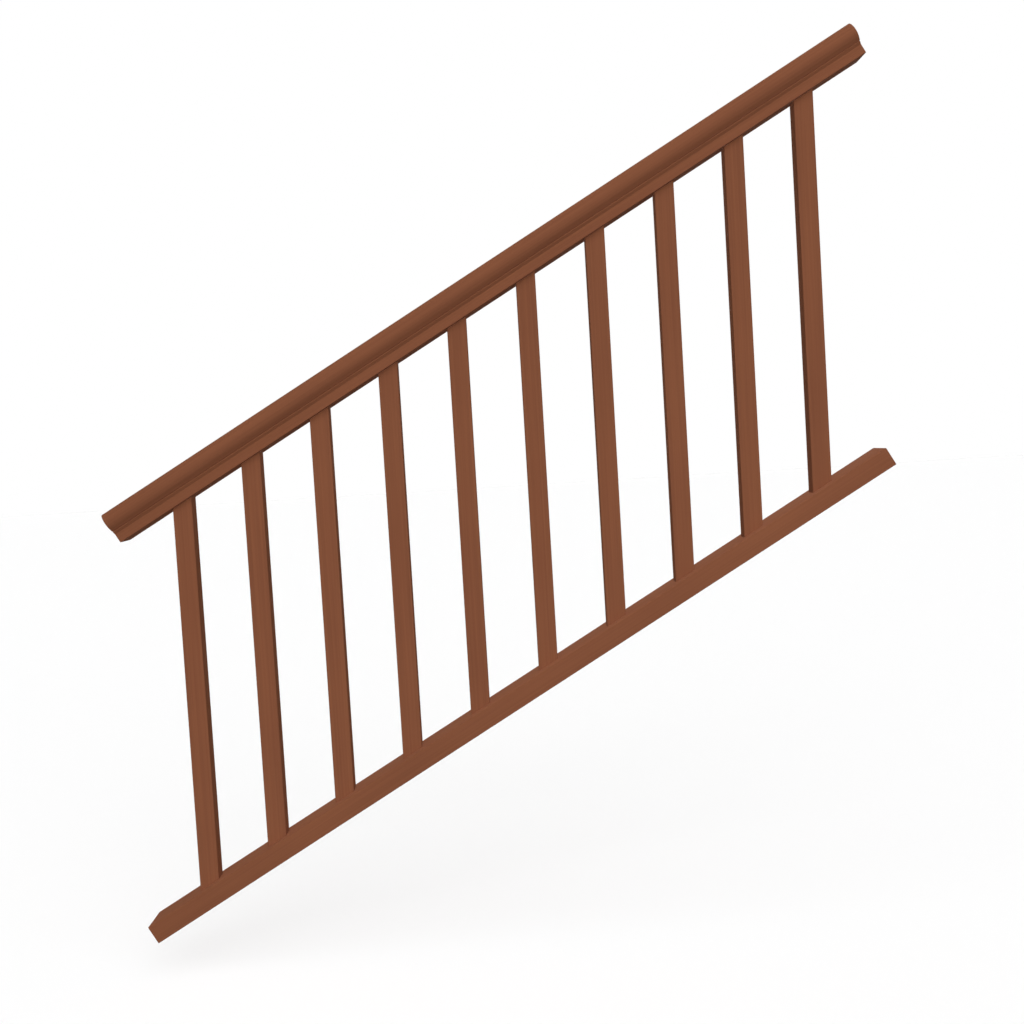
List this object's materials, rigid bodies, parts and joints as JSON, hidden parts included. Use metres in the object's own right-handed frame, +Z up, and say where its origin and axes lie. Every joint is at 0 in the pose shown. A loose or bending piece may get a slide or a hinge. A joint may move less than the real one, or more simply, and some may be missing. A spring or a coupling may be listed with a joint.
{
  "type": "stair balustrade panel",
  "caption": "Raked stair guard panel: a moulded handrail and a plain bottom rail joined by plumb square balusters, made in brown stained timber to fix between posts.",
  "frame": {"origin": "centre of the bottom rail's lower end face, where it meets the lower post", "axes": "+X level, up the stair; +Y through the panel, away from the front; +Z up"},
  "size_m": [1.552, 0.1064, 1.7085],
  "materials": {
    "brown_timber": "opaque brown stain, satin"
  },
  "bodies": {
    "root": {"handrail": "brown_timber", "bottom_rail": "brown_timber", "baluster_01": "brown_timber", "baluster_02": "brown_timber", "baluster_03": "brown_timber", "baluster_04": "brown_timber", "baluster_05": "brown_timber", "baluster_06": "brown_timber", "baluster_07": "brown_timber", "baluster_08": "brown_timber", "baluster_09": "brown_timber", "baluster_10": "brown_timber"}
  },
  "joints": []
}
